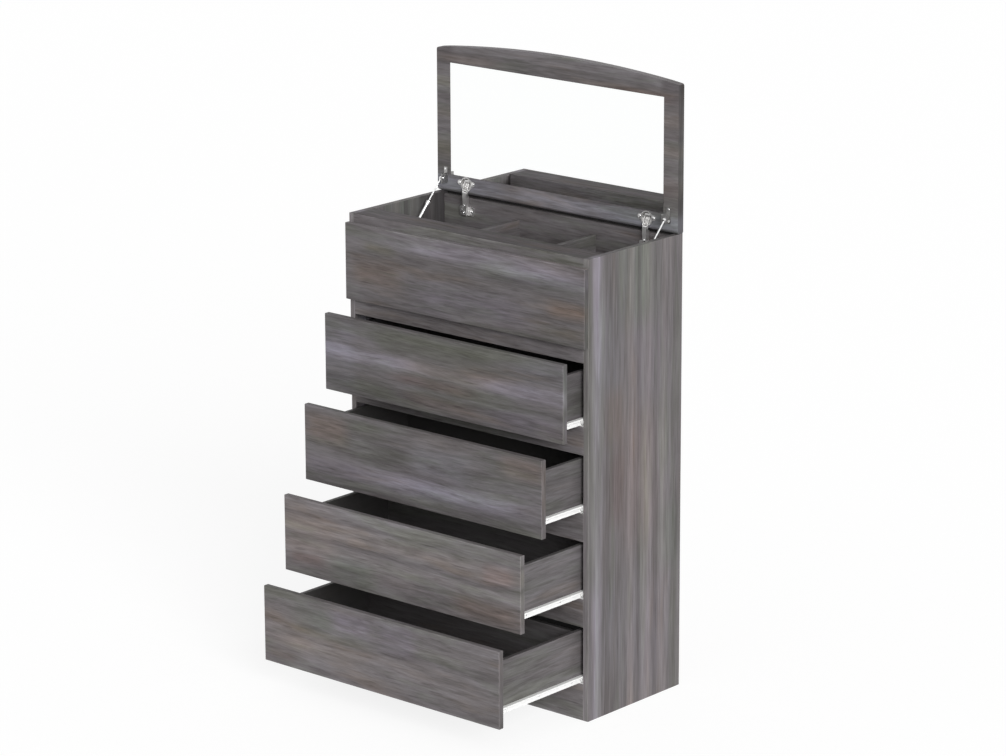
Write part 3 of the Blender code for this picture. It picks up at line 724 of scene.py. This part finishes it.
# The stay brackets, which stand in front of the lid's inner face, are of steel
dress("lid_panel", s.finish(steel=s.math("LESS_THAN", s.place[1], lid_face - BRACKET_FROM)))
soften("lid_panel", LID_EASE)

dress("back_panel", back_sheet)
dress("mirror", silver)
for word in SIDES:
    dress("hinge_cup_" + word, nickel)
    dress("hinge_arm_" + word, nickel)
    dress("stay_tube_" + word, bright_steel)
    dress("stay_rod_" + word, bright_steel)


# Small hardware
ROUND_SIDES = 24


class Piece:
    """Geometry gathered for one piece, in the model's frame."""

    def __init__(self):
        self.work = bmesh.new()

    def ring(self, frame_at, radius, height, sides):
        if radius == 0.0:
            return [self.work.verts.new(frame_at @ Vector((0, 0, height)))]
        made = []
        for step in range(sides):
            angle = math.tau * step / sides
            point = Vector((radius * math.cos(angle), radius * math.sin(angle), height))
            made.append(self.work.verts.new(frame_at @ point))
        return made

    def skin(self, low, high):
        """Faces between two rings, either of which may be a single point."""
        count = max(len(low), len(high))
        for step in range(count):
            after = (step + 1) % count
            corners = [low[step % len(low)], low[after % len(low)]]
            corners += [high[after % len(high)], high[step % len(high)]]
            self.work.faces.new(list(dict.fromkeys(corners)))

    def turned(self, profile, at, axis, sides=ROUND_SIDES, closed=False):
        """A profile of (radius, height) points turned about an axis."""
        frame_at = stand(at, axis)
        rings = [self.ring(frame_at, radius, height, sides) for radius, height in profile]
        for low, high in zip(rings, rings[1:]):
            self.skin(low, high)
        if closed:
            self.skin(rings[-1], rings[0])

    def prism(self, outline, offset):
        """A flat outline of points drawn out by an offset."""
        low = [self.work.verts.new(point) for point in outline]
        high = [self.work.verts.new(Vector(point) + Vector(offset)) for point in outline]
        self.work.faces.new(low)
        self.work.faces.new(high[::-1])
        self.skin(low, high)

    def screw(self, at, axis, radius, height, turn=0.4):
        """A pan head with a cross recess."""
        frame_at = stand(at, axis) @ Matrix.Rotation(turn, 4, "Z")
        rings = []
        for share, rise in ((1.0, 0.0), (1.0, 0.35), (0.90, 0.72), (0.64, 1.0)):
            rings.append(self.ring(frame_at, radius * share, height * rise, ROUND_SIDES))
        for low, high in zip(rings, rings[1:]):
            self.skin(low, high)
        self.work.faces.new(rings[0][::-1])
        arm = 0.50 * radius
        half = 0.13 * radius
        corner = [(arm, -half), (arm, half), (half, half)]
        cross = []
        for quarter in range(4):
            turned = Matrix.Rotation(quarter * math.pi / 2, 2)
            cross += [turned @ Vector(point) for point in corner]
        upper = [self.work.verts.new(frame_at @ Vector((*point, height))) for point in cross]
        deep = [Vector((*(point * 0.7), height * 0.3)) for point in cross]
        lower = [self.work.verts.new(frame_at @ point) for point in deep]
        rim = [self.work.edges.get(pair) or self.work.edges.new(pair) for pair in pairs(rings[-1])]
        rim += [self.work.edges.new(pair) for pair in pairs(upper)]
        bmesh.ops.triangle_fill(self.work, use_beauty=True, edges=rim)
        self.skin(lower, upper)
        self.work.faces.new(lower)

    def finish(self, name, material, body, slot, eased=0.0):
        bmesh.ops.recalc_face_normals(self.work, faces=self.work.faces)
        mesh = bpy.data.meshes.new(name)
        self.work.to_mesh(mesh)
        self.work.free()
        mesh.shade_smooth()
        mesh.set_sharp_from_angle(angle=SHARP_FROM)
        mesh.materials.append(material)
        made = bpy.data.objects.new(name, mesh)
        bpy.context.scene.collection.objects.link(made)
        if eased:
            ease(made, eased)
        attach(made, body)


def stand(at, axis):
    """A frame at a point whose z runs along an axis."""
    turned = Vector(axis).to_track_quat("Z", "Y").to_matrix().to_4x4()
    return Matrix.Translation(Vector(at)) @ turned


def pairs(loop):
    return list(zip(loop, loop[1:] + loop[:1]))


def strap(path, half):
    """The outline of a strap with round ends along a path of (y, z) points."""
    points = [Vector(point) for point in path]
    sides = ([], [])
    for place, point in enumerate(points):
        before = (point - points[place - 1]).normalized() if place else None
        after = (points[place + 1] - point).normalized() if place + 1 < len(points) else None
        way = ((before or after) + (after or before)).normalized()
        across = Vector((-way.y, way.x)) * half
        if before and after:
            across = across / max(way.dot(before), 0.5)
        sides[0].append(point + across)
        sides[1].append(point - across)
    outline = list(sides[0])
    outline += round_end(points[-1], sides[0][-1], half)
    outline += sides[1][::-1]
    outline += round_end(points[0], sides[1][0], half)
    return outline


def round_end(centre, start, half, steps=6):
    begin = math.atan2(start.y - centre.y, start.x - centre.x)
    made = []
    for step in range(1, steps):
        angle = begin - math.pi * step / steps
        made.append(centre + half * Vector((math.cos(angle), math.sin(angle))))
    return made


def dome(radius, height):
    """The profile of a round rivet or pin head."""
    crown = [(0.0, height), (radius * 0.55, height * 0.86), (radius * 0.88, height * 0.5)]
    return crown + [(radius, 0.0), (0.0, 0.0)]


AXIS_Z = 1.2125  # of the lid hinge
STAY_SLOPE = math.radians(47)
STAY_FOOT = (0.1836, 1.09523)
STAY_LENGTH = 0.200  # pivot to pivot
STAY_ALONG = Vector((0.0, math.cos(STAY_SLOPE), math.sin(STAY_SLOPE)))
# Radius and height of heads
CUP_SCREW = (0.0040, 0.0014)
PLATE_SCREW = (0.0038, 0.0014)
ARM_SCREW = (0.0036, 0.0010)
BRACKET_SCREW = (0.0030, 0.0009)
RUNNER_SCREW = (0.0032, 0.0012)
FOOT_RIVET = (0.0046, 0.0016)
EYE_RIVET = (0.0036, 0.0014)
STUD_RIVET = (0.0042, 0.0016)
PIN_HEAD = (0.0022, 0.0006)
# Cup hinge
LINK_ASIDE = 0.0070  # inner face of a link from the hinge's middle
LINK_STEEL = 0.0012
LINK_HALF = 0.0026
LINK_EASE = 0.0003
# Places in y and z, from the lid's inner face and the middle of the cup or, for the link's end, the
# hinge axis
LINK_TOP = (0.0030, 0.0020)
LINK_BEND = (-0.0036, -0.0150)
LINK_END = (-0.0054, -0.0050)
BLOCK_LOW = (0.0050, 0.0046)
BLOCK_HIGH = (0.0050, 0.0096)
BLOCK_HALF = 0.0030
BLOCK_WIDTH = 0.017
EAR_ASIDE = 0.0225
EAR_RISE = 0.0030
PLATE_ASIDE = 0.0165
PLATE_RISE = 0.012
PLATE_STEEL = 0.0025
ARM_SCREWS = ((0.010, 0.2), (0.028, 0.9))  # rise from the foot of the arm, and turn
# Lid stay
ROD_HALF = 0.002
BRACKET_REACH = 0.0083  # stay axis to the outer face of the bracket
BRACKET_STRIP = 0.0015
BRACKET_ASIDE = 0.0006
BRACKET_SCREWS = ((-0.0085, 0.7), (0.0225, 0.1))  # rise from the stud, and turn
TUBE_CAP = (
    (0.00505, 0.1150),
    (0.0060, 0.1155),
    (0.0062, 0.1170),
    (0.0062, 0.1240),
    (0.0056, 0.1262),
    (0.0026, 0.1266),
    (0.0026, 0.1254),
    (0.00505, 0.1254),
)
# Runners and back panel
RUNNER_STEEL = 0.0015
RUNNER_RISE = 0.0095
RUNNER_SCREWS = ((0.037, 0.2), (0.165, 1.1), (0.293, 0.6))  # from the front end, and turn
PIN_INSET = 0.004
PIN_STEPS = 8
PIN_END = 0.05
PIN_PITCH = 0.13
PIN_UP = 0.008  # above the underside of the compartment floor
PIN_DOWN = 0.030  # below the top edge of the panel
PIN_SIDES = 16


def build_hinge_details(word):
    """Links between cup and arm, the pin block in the cup, and the screws of cup, arm and plate."""
    cup_low, cup_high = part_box("hinge_cup_" + word)
    arm_low, arm_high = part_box("hinge_arm_" + word)
    middle = (cup_low.x + cup_high.x) / 2
    cup_z = (cup_low.z + cup_high.z) / 2

    links = Piece()
    cup_at, axis_at = Vector((lid_face, cup_z)), Vector((lid_face, AXIS_Z))
    path = [cup_at + Vector(LINK_TOP), cup_at + Vector(LINK_BEND), axis_at + Vector(LINK_END)]
    for side in SIDES.values():
        x = middle + side * LINK_ASIDE
        links.prism([(x, *point) for point in strap(path, LINK_HALF)], (side * LINK_STEEL, 0, 0))
    block = strap([cup_at + Vector(BLOCK_LOW), cup_at + Vector(BLOCK_HIGH)], BLOCK_HALF)
    x = middle - BLOCK_WIDTH / 2
    links.prism([(x, *point) for point in block], (BLOCK_WIDTH, 0, 0))
    links.finish("hinge_links_" + word, nickel, "lid", "nickel", LINK_EASE)

    screws = Piece()
    for side in SIDES.values():
        at = (middle + side * EAR_ASIDE, cup_low.y, cup_z + EAR_RISE)
        screws.screw(at, (0, -1, 0), *CUP_SCREW, 0.5 + side)
    screws.finish("cup_screws_" + word, bright_steel, "lid", "bright_steel")

    screws = Piece()
    for side in SIDES.values():
        at = (middle + side * PLATE_ASIDE, arm_high.y - PLATE_STEEL, arm_low.z + PLATE_RISE)
        screws.screw(at, (0, -1, 0), *PLATE_SCREW, 0.3 - side)
    for up, turn in ARM_SCREWS:
        screws.screw((middle, arm_low.y, arm_low.z + up), (0, -1, 0), *ARM_SCREW, turn)
    screws.finish("plate_screws_" + word, bright_steel, "case", "bright_steel")


def build_stay_details(word, side):
    """Rivets at both ends of a stay, the cap on its tube, and the screws of its bracket."""
    rod_low, rod_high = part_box("stay_rod_" + word)
    x = (rod_low.x + rod_high.x) / 2
    foot = Vector((x, *STAY_FOOT))
    stud = foot + STAY_ALONG * STAY_LENGTH
    outward = Vector((side, 0, 0))

    rivet = Piece()
    rivet.turned(dome(*FOOT_RIVET), foot - outward * ROD_HALF, -outward)
    rivet.turned(TUBE_CAP, foot, STAY_ALONG, closed=True)
    rivet.finish("stay_cap_" + word, nickel, "stay_tube_" + word, "nickel")

    head = Piece()
    head.turned(dome(*EYE_RIVET), stud + outward * ROD_HALF, outward)
    head.finish("stay_head_" + word, nickel, "stay_rod_" + word, "nickel")

    bracket = Piece()
    bracket.turned(dome(*STUD_RIVET), stud - outward * BRACKET_REACH, -outward)
    for up, turn in BRACKET_SCREWS:
        at = (x - side * BRACKET_ASIDE, lid_face - BRACKET_STRIP, stud.z + up)
        bracket.screw(at, (0, -1, 0), *BRACKET_SCREW, turn)
    bracket.finish("bracket_screws_" + word, bright_steel, "lid", "bright_steel")


def build_runner_screws(number, word, side):
    """Three flat screws through a drawer member into the drawer side."""
    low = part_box(f"drawer_runner_{number}_{word}")[0]
    box_low, box_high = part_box(f"drawer_{number}_side_{word}")
    outer = max(abs(box_low.x), abs(box_high.x)) + RUNNER_STEEL
    screws = Piece()
    for back, turn in RUNNER_SCREWS:
        at = (side * outer, low.y + back, low.z + RUNNER_RISE)
        screws.screw(at, (side, 0, 0), *RUNNER_SCREW, turn)
    name = f"runner_screws_{number}_{word}"
    screws.finish(name, bright_steel, f"drawer_{number}", "bright_steel")


def build_back_pins():
    """Pins that hold the back panel, in two rows up the sides and two across."""
    low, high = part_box("back_panel")
    pins = Piece()
    places = []
    for step in range(PIN_STEPS + 1):
        z = PIN_END + step * (high.z - 2 * PIN_END) / PIN_STEPS
        places += [(low.x + PIN_INSET, z), (high.x - PIN_INSET, z)]
    for z in (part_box("compartment_floor")[0].z + PIN_UP, high.z - PIN_DOWN):
        places += [(x * PIN_PITCH, z) for x in range(-2, 3)]
    for x, z in places:
        pins.turned(dome(*PIN_HEAD), (x, high.y, z), (0, 1, 0), PIN_SIDES)
    pins.finish("back_pins", dark_steel, "case", "bright_steel")


for hand, sign in SIDES.items():
    build_hinge_details(hand)
    build_stay_details(hand, sign)
    for drawer in DRAWERS:
        build_runner_screws(drawer, hand, sign)
build_back_pins()


# Floor, light and camera
def build_floor():
    work = bmesh.new()
    bmesh.ops.create_grid(work, x_segments=4, y_segments=4, size=FLOOR_SIZE / 2)
    mesh = bpy.data.meshes.new("floor")
    work.to_mesh(mesh)
    work.free()
    floor = bpy.data.objects.new("floor", mesh)
    bpy.context.scene.collection.objects.link(floor)
    s = Shader("white_floor")
    path = s.add("LightPath").outputs
    seen = s.math("MAXIMUM", path["Is Camera Ray"], path["Is Glossy Ray"])
    seen = s.math("MAXIMUM", seen, path["Is Transmission Ray"])
    matt = s.add("BsdfDiffuse", {"Color": rgb(FLOOR_GREY, FLOOR_GREY, FLOOR_GREY)})
    glow = s.add("Emission", {"Color": rgb(1, 1, 1), "Strength": FLOOR_WHITE})
    mixed = s.add("MixShader", {0: s.math("MULTIPLY", seen, FLOOR_GLOW)})
    s.tree.links.new(matt.outputs[0], mixed.inputs[1])
    s.tree.links.new(glow.outputs[0], mixed.inputs[2])
    s.tree.links.new(mixed.outputs[0], s.output.inputs["Surface"])
    mesh.materials.append(s.material)


def build_room():
    """White where it is seen or mirrored; as light it is softer overhead than at eye level."""
    world = bpy.data.worlds.new("white_room")
    bpy.context.scene.world = world
    world.use_nodes = True
    tree = world.node_tree
    tree.nodes.clear()

    def add(kind, **settings):
        made = tree.nodes.new("ShaderNode" + kind)
        for key, value in settings.items():
            setattr(made, key, value)
        return made

    way = add("SeparateXYZ")
    tree.links.new(add("TexCoord").outputs["Generated"], way.inputs[0])
    level = add("MapRange")
    level.inputs["To Min"].default_value = ROOM_LOW
    level.inputs["To Max"].default_value = ROOM_HIGH
    tree.links.new(way.outputs["Z"], level.inputs["Value"])
    path = add("LightPath")
    seen = add("Math", operation="MAXIMUM")
    tree.links.new(path.outputs["Is Camera Ray"], seen.inputs[0])
    tree.links.new(path.outputs["Is Glossy Ray"], seen.inputs[1])
    through = add("Math", operation="MAXIMUM")
    tree.links.new(seen.outputs[0], through.inputs[0])
    tree.links.new(path.outputs["Is Transmission Ray"], through.inputs[1])
    strength = add("Math", operation="MAXIMUM")
    tree.links.new(level.outputs["Result"], strength.inputs[0])
    tree.links.new(through.outputs[0], strength.inputs[1])
    light = add("Background")
    light.inputs["Color"].default_value = rgb(1, 1, 1)
    tree.links.new(strength.outputs[0], light.inputs["Strength"])
    tree.links.new(light.outputs[0], add("OutputWorld").inputs["Surface"])


def build_key():
    lamp = bpy.data.lights.new("key", "SUN")
    lamp.angle = KEY_SPREAD
    lamp.energy = KEY_SHARE * math.pi
    made = bpy.data.objects.new("key", lamp)
    bpy.context.scene.collection.objects.link(made)
    flat = math.cos(KEY_HEIGHT)
    across, back = math.sin(KEY_AZIMUTH) * flat, -math.cos(KEY_AZIMUTH) * flat
    towards = Vector((across, back, math.sin(KEY_HEIGHT)))
    made.location = towards * KEY_AWAY
    made.rotation_mode = "QUATERNION"
    made.rotation_quaternion = towards.to_track_quat("Z", "Y")


def build_camera():
    yaw, pitch, roll = CAMERA_YAW, CAMERA_PITCH, CAMERA_ROLL
    flat = math.cos(pitch)
    forward = Vector((-math.sin(yaw) * flat, math.cos(yaw) * flat, -math.sin(pitch)))
    level = Vector((math.cos(yaw), math.sin(yaw), 0.0))
    upright = level.cross(forward)
    right = level * math.cos(roll) + upright * math.sin(roll)
    up = upright * math.cos(roll) - level * math.sin(roll)
    turned = Matrix((right, up, -forward)).transposed()
    lens = bpy.data.cameras.new("camera")
    lens.sensor_width = SENSOR
    lens.lens = LENS
    lens.clip_end = FAR_CLIP
    made = bpy.data.objects.new("camera", lens)
    bpy.context.scene.collection.objects.link(made)
    made.matrix_world = Matrix.Translation(CAMERA_AT) @ turned.to_4x4()
    bpy.context.scene.camera = made


build_floor()
build_room()
build_key()
build_camera()
bpy.context.scene.view_settings.view_transform = "Standard"
